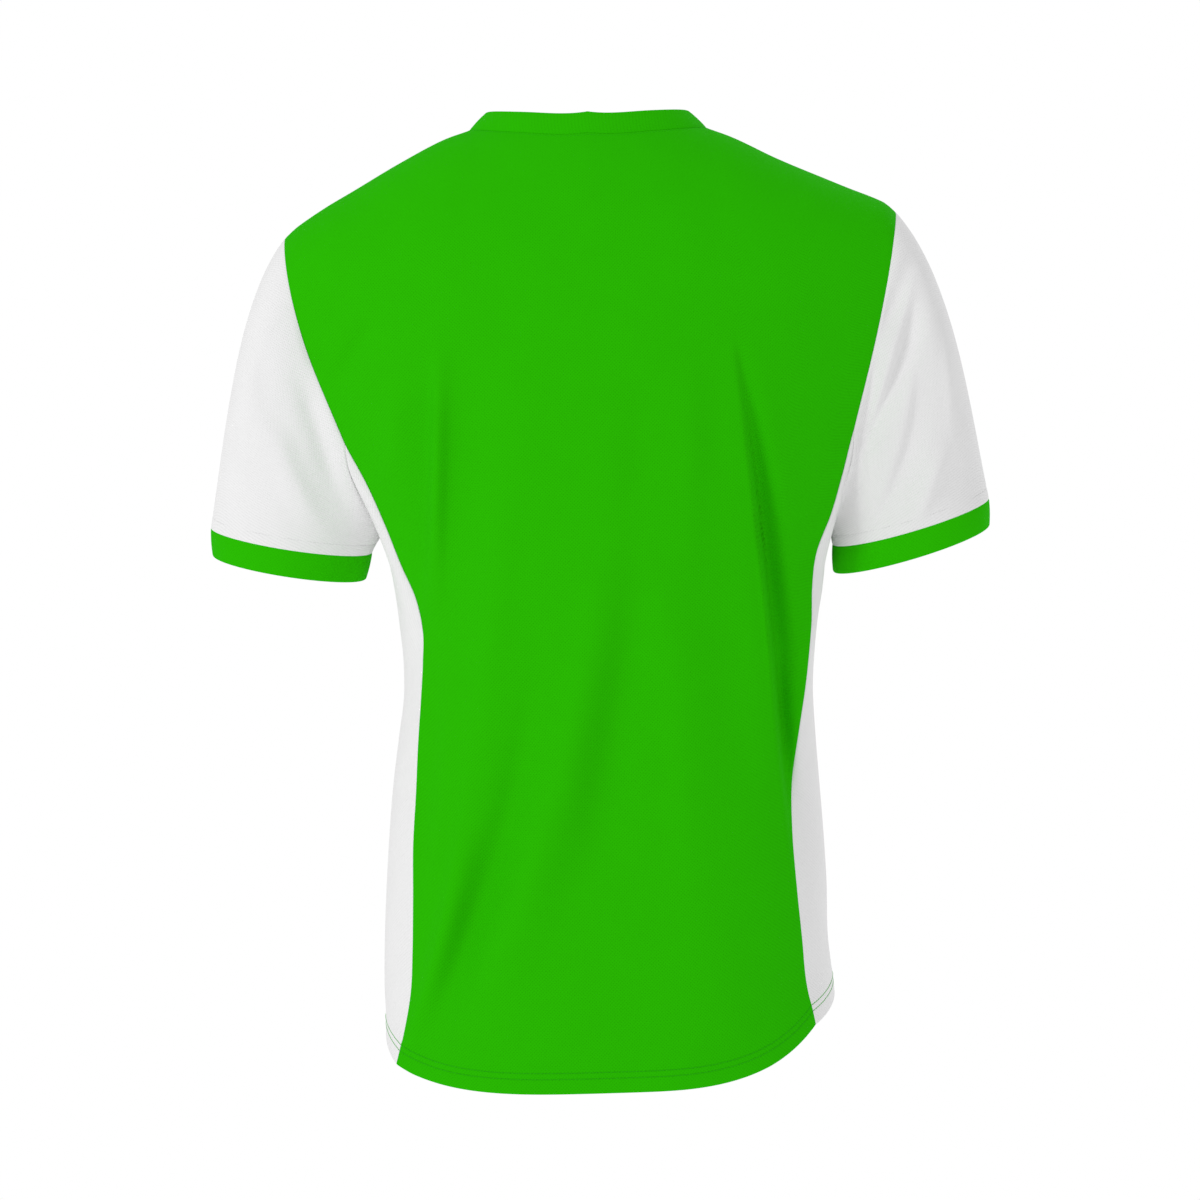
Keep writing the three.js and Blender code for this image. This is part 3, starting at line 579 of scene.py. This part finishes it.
def panel_skin(face, folds):
    low = PANEL_SHARES[None, :]
    body = body_points(face, low, BODY_UPS[:-1, None])
    yoke = yoke_points(face, low, YOKE_UPS[:, None])
    return wobbled(folded(np.concatenate([body, yoke]), folds, face))


def panel_piece(name, skin):
    """The cloth of a panel, with its hem turned up and its other edges drawn into their seams."""
    normal = outward(skin, BODY_CORE)
    across, up = run_length(skin, 1), run_length(skin, 0)
    dip, thickness = hemmed(up)
    seams = (across, across[:, -1:] - across, up[-1:] - up)
    dip = dip + sum(from_seam(distance) for distance in seams)
    thickness = thickness + allowance(*seams)
    return cloth_wall(name, skin - dip[..., None] * normal, normal, thickness)


back_skin = panel_skin("back", BACK_FOLDS)
back = panel_piece("back_panel_cloth", back_skin)
back.data.materials.append(green_knit)
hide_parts("back_panel")

# Front panel: cut like the back, with a shorter hem and a deeper round neck. The photograph
# doesn't show it, so it is plain, with folds of the same kind as the back's.
FRONT_FOLDS = (
    (102, -165, 114, -350, 130, -600, 7, 10, 25, 0.4, 0.5),
    (110, -180, 128, -350, 138, -540, -10, 13, 12, 0.35, 0.55),
    (-118, -190, -123, -300, -130, -430, -5, 5, 17, 0.9, 0.45),
    (-111, -170, -115, -280, -121, -410, 4, 16, 5, 0.9, 0.5),
    (48, -190, 42, -270, 36, -350, -2.4, 13, 13, 1, 0.45),
    (14, -290, -18, -450, -70, -640, 7.4, 22, 20, 0.7, 0.6),
    (-36, -320, -60, -480, -116, -670, -8, 16, 18, 0.7, 0.65),
    (22, -330, 18, -440, -2, -590, -4, 16, 16, 0.8, 0.5),
    (50, -340, 58, -460, 62, -620, 3.6, 30, 18, 0.8, 0.5),
    (-86, -400, -104, -530, -138, -690, 6, 16, 9, 0.6, 0.7),
    (30, -110, 10, -140, -18, -170, -2.6, 12, 12, 1, 0.5),
)
front_skin = panel_skin("front", FRONT_FOLDS)
# The two panels share their shoulder seam.
shoulder_columns = np.abs(PANEL_SHARES) >= NECK_COLUMNS - 1e-6
front_skin[-1, shoulder_columns] = back_skin[-1, shoulder_columns]
front = panel_piece("front_panel_cloth", front_skin)
front.data.materials.append(green_knit)
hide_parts("front_panel")

# Side panels: shaped strips of white knit from the underarm to the hem, sewn between back and
# front. Their hem is lower at the back and they are fullest halfway round.
ARMHOLE_DROP = 66
SIDE_FULLNESS = 0.5
SIDE_HEM = {"left": -687, "right": -665}
SIGNS = {"left": 1, "right": -1}
SIDE_REACH = {
    "z": (-710, -680, -650, -620, -580, -540, -500, -460)
    + (-430, -400, -380, -355, -330, -304, -238),
    "left": (175, 174, 174.6, 173.7, 171.3, 168, 163.9, 158)
    + (153.4, 153, 154.7, 157.2, 161, 166.5, 178),
    "right": (170, 169, 167.3, 164.8, 165.1, 163.8, 161.7, 159.6)
    + (158.9, 161.3, 164, 168.8, 171.8, 174.5, 182),
}
SIDE_COLUMNS = {"count": 38, "length": 125}
SIDE_AROUNDS = steps(**SIDE_COLUMNS, fine=[*SEAM_FINE, *(-d for d in SEAM_FINE)])
WHITE = (0.83, 0.828, 0.83)
white_knit = knit_material("white_knit", WHITE, (1, 1, 1), hole_shade=0.08)


def side_points(side, up, around):
    """A side panel, where around runs from its back seam to its front seam."""
    turn = around * math.pi
    share = (1 - np.cos(turn)) / 2
    back_z = blended(HEM["back"][side], NOTCH_HEIGHT, up)
    front_z = blended(HEM["front"][side], NOTCH_HEIGHT, up)
    hem_rise = (HEM["back"][side] + HEM["front"][side]) / 2 - SIDE_HEM[side]
    sag = blended(hem_rise, ARMHOLE_DROP, up) * np.sin(turn) ** blended(2, 1, up)
    z = blended(back_z, front_z, share) - sag
    depth = np.where(turn < math.pi / 2, through(EDGE, "back", back_z), through(EDGE, "front", front_z))
    inward = np.cos(turn) ** 2
    edges = blended(through(EDGE, side, back_z), through(EDGE, side, front_z), share)
    seam = blended(through(EDGE, side, z), edges, inward)
    fullness = SIDE_FULLNESS * (1 - up**3)
    x = seam + (through(SIDE_REACH, side, z) - seam) * (1 - inward) * (1 + fullness * inward)
    return np.stack([SIGNS[side] * x, depth * np.cos(turn), z], -1)


side_skins = {}
for side, sign in SIGNS.items():
    last = -1 if side == "left" else 0
    skin = side_points(side, BODY_UPS[:, None], SIDE_AROUNDS[None, :])
    skin = wobbled(folded(folded(skin, BACK_FOLDS, "back"), FRONT_FOLDS, "front"))
    skin[:, 0] = back_skin[: len(BODY_UPS), last]
    skin[:, -1] = front_skin[: len(BODY_UPS), last]
    side_skins[side] = skin
    normal = outward(skin, BODY_CORE)
    across, up = run_length(skin, 1), run_length(skin, 0)
    dip, thickness = hemmed(up)
    seams = (across, across[:, -1:] - across, up[-1:] - up)
    dip = dip + sum(from_seam(distance) for distance in seams)
    thickness = thickness + allowance(*seams)
    panel = cloth_wall(f"side_panel_{side}_cloth", skin - dip[..., None] * normal, normal, thickness)
    panel.data.materials.append(white_knit)
    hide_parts(f"side_panel_{side}")

# Sleeves: short, white and set in. Each is one piece closed by a seam under the arm, and its
# creases run from the back of the armhole down and outwards, as it hangs from the shoulder.
CUFFS = {
    "left": {"x": 236.1, "z": -307.6, "tilt": 10.6, "flare": 0.95, "lean": 0.12},
    "right": {"x": 238, "z": -307.1, "tilt": 15, "flare": 1, "lean": 0},
}
CUFF_Y = -3
CUFF_PITCH = math.radians(9.5)
CUFF_HALF_WIDTH = 62.5
CUFF_HALF_DEPTH = 50
CUFF_HEIGHT = 20.9
CUFF_FORWARD_LEAN = 0.1
SLEEVE_RUN = {
    "angle": (0, 90, 180, 270, 360),
    "x": (0.63, 0.85, 0.25, 0.85, 0.63),
    "y": (0, 0.1, 0, -0.15, 0),
    "z": (-0.77, -0.5, -0.97, -0.5, -0.77),
    "pull": (0.9, 0.85, 0.85, 0.85, 0.9),
}
SLEEVE_FULLNESS = {"left": 0.88, "right": 0.98}  # how far each swings out
CUFF_RUN = (0.2, -0.12, -0.97)
CUFF_PULL = 0.71
SLEEVE_FREE = {"armhole": 4, "cuff": 12}  # a crease fades out over these distances from its ends
SLEEVE_ROW = 8.5  # how far above the cuff's seam its row of stitches runs
SLEEVE_ROW_DIP = 0.3
SLEEVE_ROW_REACH = 0.8
SLEEVE_ROWS = {"count": 58, "length": 235}
SLEEVE_FINE = (*SEAM_FINE, -7.1, -7.8, -8.5, -9.2, -9.9, *(-d for d in SEAM_FINE))
SLEEVE_DOWNS = steps(**SLEEVE_ROWS, fine=SLEEVE_FINE)
SLEEVE_FOLDS = {
    "back": (
        (-244, -98, -229, -138, -214, -176, -4.5, 6, 9, 1, 0.45),
        (-247, -118, -231, -180, -200, -255, -7, 4, 12, 0.8, 0.5),
        (-244, -180, -234, -250, -202, -322, -4, 5, 15, 0.8, 0.5),
        (-263, -248, -254, -275, -237, -312, 4.5, 10, 5, 1, 0.5),
        (-265, -140, -267, -195, -268, -255, 2, 5, 8, 1, 0.5),
        (-214, -160, -199, -240, -171, -340, -5.5, 3.5, 9, 1, 0.5),
        (264, -150, 262, -190, 252, -232, 2.2, 10, 8, 1, 0.5),
        (246, -215, 229, -262, 206, -312, 4.6, 14, 10, 1, 0.5),
        (224, -175, 207, -235, 190, -295, -4.4, 8, 8, 1, 0.5),
    ),
    "front": (
        (243, -105, 230, -150, 213, -195, -5.5, 10, 6, 1, 0.5),
        (248, -140, 234, -200, 206, -270, -6.5, 13, 6, 0.8, 0.5),
        (262, -220, 252, -262, 236, -305, 3.6, 5, 11, 1, 0.5),
        (-242, -110, -228, -160, -212, -210, -4.8, 6, 10, 1, 0.5),
        (-250, -150, -238, -210, -210, -280, -5.5, 6, 12, 0.8, 0.5),
        (-266, -210, -256, -255, -240, -300, 3.4, 10, 6, 1, 0.5),
    ),
}


def armhole(side):
    """The armhole's points from the shoulder tip down the back, under the arm and up the front."""
    last = -1 if side == "left" else 0
    notch_row = len(BODY_UPS) - 1
    down_back = back_skin[notch_row:, last][::-1]
    up_front = front_skin[notch_row:-1, last]
    return np.concatenate([down_back, side_skins[side][-1, 1:-1], up_front])


def arm_angles(loop):
    """The angle round the arm of each point, by its length along the back or front half."""
    bottom = len(YOKE_UPS) - 1 + len(SIDE_AROUNDS) // 2
    closed = np.concatenate([loop, loop[:1]])
    reach = np.concatenate([[0], np.cumsum(np.linalg.norm(np.diff(closed, axis=0), axis=1))])
    half_way, whole = reach[bottom], reach[-1]
    angles = np.where(
        reach <= half_way, 180 * reach / half_way, 180 + 180 * (reach - half_way) / (whole - half_way)
    )
    return angles[:-1]


def cuff_points(side, angles, down):
    cuff = CUFFS[side]
    turn = np.radians(angles)[..., None]
    tilt = math.radians(cuff["tilt"])
    outwards = np.array((math.cos(tilt), 0, math.sin(tilt)))
    backwards = np.array((0, math.cos(CUFF_PITCH), -math.sin(CUFF_PITCH)))
    hang = np.array((cuff["lean"], -CUFF_FORWARD_LEAN, -1))
    hang = hang / np.linalg.norm(hang)
    down = np.asarray(down, float)[..., None]
    size = blended(1, cuff["flare"], down / CUFF_HEIGHT)
    points = (
        np.array((cuff["x"], CUFF_Y, cuff["z"]))
        + CUFF_HALF_WIDTH * size * np.cos(turn) * outwards
        + CUFF_HALF_DEPTH * size * np.sin(turn) * backwards
        + hang * down
    )
    return points * np.array((SIGNS[side], 1, 1))


def sleeve_skin(side, loop, angles):
    end = cuff_points(side, angles, np.zeros_like(angles))
    reach = np.linalg.norm(end - loop, axis=1)[:, None]
    leave = np.stack([through(SLEEVE_RUN, k, angles, "angle") for k in "xyz"], -1)
    leave[:, 0] *= SIGNS[side]
    pull = through(SLEEVE_RUN, "pull", angles, "angle")[:, None]
    pull = pull * SLEEVE_FULLNESS[side]
    leave = leave / np.linalg.norm(leave, axis=1)[:, None] * reach * pull
    arrive = np.array(CUFF_RUN) * np.array((SIGNS[side], 1, 1))
    arrive = arrive / np.linalg.norm(arrive) * reach * CUFF_PULL
    t = SLEEVE_DOWNS[:, None, None]
    return (
        loop * (2 * t**3 - 3 * t**2 + 1)
        + leave * (t**3 - 2 * t**2 + t)
        + end * (3 * t**2 - 2 * t**3)
        + arrive * (t**3 - t**2)
    )


loops, sleeve_skins, sleeve_cores = {}, {}, {}
for side in SIGNS:
    loop = armhole(side)
    angles = arm_angles(loop)
    skin = sleeve_skin(side, loop, angles)
    creased = skin
    for face, folds in SLEEVE_FOLDS.items():
        creased = wobbled(folded(creased, folds, face))
    down = run_length(skin, 0)
    up = down[-1:] - down
    free = np.clip(down / SLEEVE_FREE["armhole"], 0, 1) * np.clip(up / SLEEVE_FREE["cuff"], 0, 1)
    skin = blended(skin, creased, free[..., None])
    core = skin.mean((0, 1))
    normal = outward(skin, core, around=True)
    dip = from_seam(down) + from_seam(up)
    dip = dip + SLEEVE_ROW_DIP * np.exp(-(((up - SLEEVE_ROW) / SLEEVE_ROW_REACH) ** 2))
    loops[side], sleeve_skins[side], sleeve_cores[side] = (loop, angles), skin, core
    thickness = CLOTH + allowance(down, up)
    sleeve = cloth_wall(
        f"sleeve_{side}_cloth", skin - dip[..., None] * normal, normal, thickness, around=True
    )
    sleeve.data.materials.append(white_knit)
    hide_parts(f"sleeve_{side}")

# Cuffs: bands of green knit folded double, sewn round the sleeve's end with the fold at the
# opening.
BAND_CLOTH = 1.9
BAND_FULLNESS = 0.5
BAND_ROWS = 7
BAND_FINE = (*SEAM_FINE, -0.3, -0.7, -1.2, -2.2)
CUFF_DOWNS = steps(BAND_ROWS, CUFF_HEIGHT, BAND_FINE)
green_band = knit_material("green_band", GREEN, GREEN_BLOOM, hole_shade=0.06, relief=0.0001)


def band_piece(name, skin, core):
    """A doubled band: drawn in at its seam, a little fuller midway, and rounded at its fold."""
    normal = outward(skin, core, around=True)
    run = run_length(skin, 0)
    share = run / run[-1:]
    kept = rounded_edge(run[-1:] - run, BAND_CLOTH)
    dip = from_seam(run) - BAND_FULLNESS * np.sin(math.pi * share) + BAND_CLOTH * (1 - kept) / 2
    return cloth_wall(
        name, skin - dip[..., None] * normal, normal, BAND_CLOTH * kept, around=True
    )


for side in SIGNS:
    loop, angles = loops[side]
    skin = cuff_points(side, angles[None, :], CUFF_DOWNS[:, None] * CUFF_HEIGHT)
    skin[0] = sleeve_skins[side][-1]
    cuff = band_piece(f"cuff_{side}_cloth", skin, skin.mean((0, 1)))
    cuff.data.materials.append(green_band)
    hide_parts(f"cuff_{side}")

# Neck band: the same doubled knit, sewn to the neck with its fold upwards, standing and leaning
# in towards the neck.
BAND_WIDTH = 19.5
BAND_LEAN = {"back": 62, "side": 45, "front": 65}
BAND_UPS = steps(BAND_ROWS, BAND_WIDTH, BAND_FINE)
neck_columns = np.abs(PANEL_SHARES) <= NECK_COLUMNS + 1e-6
neck_loop = np.concatenate(
    [back_skin[-1, neck_columns], front_skin[-1, neck_columns][1:-1][::-1]]
)
behind_neck = neck_loop[:, 1] > 0
reach_y = np.where(behind_neck, neck_loop[:, 1].max(), neck_loop[:, 1].min())
inwards = np.stack(
    [-neck_loop[:, 0] / NECK_HALF_WIDTH**2, -neck_loop[:, 1] / reach_y**2, 0 * reach_y], 1
)
inwards /= np.linalg.norm(inwards, axis=1)[:, None]
lean = np.where(behind_neck, BAND_LEAN["back"], BAND_LEAN["front"])
lean = np.radians(blended(BAND_LEAN["side"], lean, inwards[:, 1] ** 2))[:, None]
band_rise = inwards * np.cos(lean) + np.array((0, 0, 1)) * np.sin(lean)
band_skin = neck_loop[None] + band_rise[None] * (BAND_UPS * BAND_WIDTH)[:, None, None]
neckband = band_piece("neckband_cloth", band_skin, (0, 0, -60))
neckband.data.materials.append(green_band)
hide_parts("neckband")

# Stitching: the two rows of the cover stitch round the hem, in green, one row above each cuff, in
# white, and one round the neck just below its band.
STITCH_RINGS = ((-0.5, 0.3), (-0.36, 0.8), (0, 1), (0.36, 0.8), (0.5, 0.3))  # place, thickness
STITCH_SIDES = 6
THREADS = {
    "hem": {"pitch": 2.7, "length": 2.5, "width": 0.62, "height": 0.4},
    "sleeve": {"pitch": 2.5, "length": 2.1, "width": 0.42, "height": 0.3},
    "neck": {"pitch": 2.5, "length": 2.2, "width": 0.42, "height": 0.3},
}
THREAD_SHADE = 0.82  # how dark the hollows of its twist are painted, as painted shade
HEM_ROW_OUT = 0.45  # how far a row lies outside the skin that its piece was made from
SLEEVE_ROW_OUT = -0.2
NECK_ROW = 2.2


def thread_material(name, color):
    """Spun thread: duller than the cloth's face, with fine twist lines."""
    material = bpy.data.materials.new(name)
    material.use_nodes = True
    tree = material.node_tree
    shader = tree.nodes["Principled BSDF"]
    shader.inputs["Roughness"].default_value = 0.7
    shader.inputs["Specular IOR Level"].default_value = 0.1
    twist = tree.nodes.new("ShaderNodeTexNoise")
    twist.inputs["Scale"].default_value = 2600
    twist.inputs["Detail"].default_value = 3
    place = tree.nodes.new("ShaderNodeTexCoord")
    # The twist's hollows are painted darker: painted shade that follows the same noise as the bump.
    tint = tree.nodes.new("ShaderNodeMix")
    tint.data_type = "RGBA"
    tint.inputs["A"].default_value = (*(THREAD_SHADE * part for part in color), 1)
    tint.inputs["B"].default_value = (*color, 1)
    bump = tree.nodes.new("ShaderNodeBump")
    bump.inputs["Distance"].default_value = 0.00008
    tree.links.new(place.outputs["Object"], twist.inputs["Vector"])
    tree.links.new(twist.outputs["Fac"], tint.inputs["Factor"])
    tree.links.new(twist.outputs["Fac"], bump.inputs["Height"])
    tree.links.new(tint.outputs["Result"], shader.inputs["Base Color"])
    tree.links.new(bump.outputs["Normal"], shader.inputs["Normal"])
    return material


def row_line(skin, normal, distance):
    """Points and normals of a skin at a distance along each of its columns."""
    row = np.argmax(distance >= 0, axis=0) - 1
    column = np.arange(skin.shape[1])
    before, after = distance[row, column], distance[row + 1, column]
    share = (before / (before - after))[:, None]
    line = blended(skin[row, column], skin[row + 1, column], share)
    return line, blended(normal[row, column], normal[row + 1, column], share)


def stitched(name, lines, thread, material):
    """Rows of stitches, each a short flat bar with its ends sunk in the cloth."""
    corners, faces = [], []
    turns = 2 * math.pi * np.arange(STITCH_SIDES) / STITCH_SIDES
    for line, normal in lines:
        reach = np.concatenate([[0], np.cumsum(np.linalg.norm(np.diff(line, axis=0), axis=1))])
        count = int(reach[-1] / thread["pitch"])
        middles = (np.arange(count) + 0.5) * reach[-1] / count
        at = np.stack([np.interp(middles, reach, line[:, k]) for k in range(3)], -1)
        up = np.stack([np.interp(middles, reach, normal[:, k]) for k in range(3)], -1)
        up /= np.linalg.norm(up, axis=1)[:, None]
        along = np.gradient(at, axis=0)
        along -= (along * up).sum(1)[:, None] * up
        along /= np.linalg.norm(along, axis=1)[:, None]
        side = np.cross(along, up)
        for ring, (share, size) in enumerate(STITCH_RINGS):
            for turn in turns:
                corners.append(
                    at
                    + share * thread["length"] * along
                    + size * thread["width"] / 2 * math.cos(turn) * side
                    + (size * math.sin(turn) + size - 1) * thread["height"] / 2 * up
                )
        block = len(STITCH_RINGS) * STITCH_SIDES
        start = sum(len(c) for c in corners) - block * count
        place = start + np.arange(block).reshape(len(STITCH_RINGS), STITCH_SIDES) * count
        for i in range(count):
            ring = place + i
            following = np.roll(ring, -1, axis=1)
            quads = np.stack([ring[:-1], following[:-1], following[1:], ring[1:]], -1)
            faces += quads.reshape(-1, 4).tolist()
            faces += [ring[0][::-1].tolist(), ring[-1].tolist()]
    mesh = bpy.data.meshes.new(name)
    mesh.from_pydata(np.concatenate(corners) * MM, [], faces)
    mesh.polygons.foreach_set("use_smooth", [True] * len(mesh.polygons))
    mesh.materials.append(material)
    row = bpy.data.objects.new(name, mesh)
    bpy.context.scene.collection.objects.link(row)
    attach(row, "root")
    return row


green_thread = thread_material("green_thread", (0.02, 0.46, 0.001))
white_thread = thread_material("white_thread", (0.78, 0.78, 0.78))
hemmed_skins = {
    "back": back_skin,
    "front": front_skin,
    "side_left": side_skins["left"],
    "side_right": side_skins["right"],
}
for place, skin in hemmed_skins.items():
    normal = outward(skin, BODY_CORE)
    up = run_length(skin, 0)
    lines = []
    for row in HEM_ROWS:
        line, facing = row_line(skin, normal, up - row)
        lines.append((line + HEM_ROW_OUT * facing, facing))
    stitched(
        f"hem_stitches_{place}", lines, THREADS["hem"], green_thread
    )
for side in SIGNS:
    skin = sleeve_skins[side]
    normal = outward(skin, sleeve_cores[side], around=True)
    down = run_length(skin, 0)
    line, facing = row_line(skin, normal, down - down[-1:] + SLEEVE_ROW)
    line = line + SLEEVE_ROW_OUT * facing
    line, facing = (np.concatenate([part, part[:1]]) for part in (line, facing))
    stitched(
        f"sleeve_stitches_{side}", [(line, facing)], THREADS["sleeve"], white_thread
    )
for face, skin in (("back", back_skin), ("front", front_skin)):
    skin = skin[:, neck_columns]
    normal = outward(skin, BODY_CORE)
    up = run_length(skin, 0)
    line, facing = row_line(skin, normal, up - up[-1:] + NECK_ROW)
    stitched(
        f"neck_stitches_{face}", [(line, facing)], THREADS["neck"], green_thread
    )
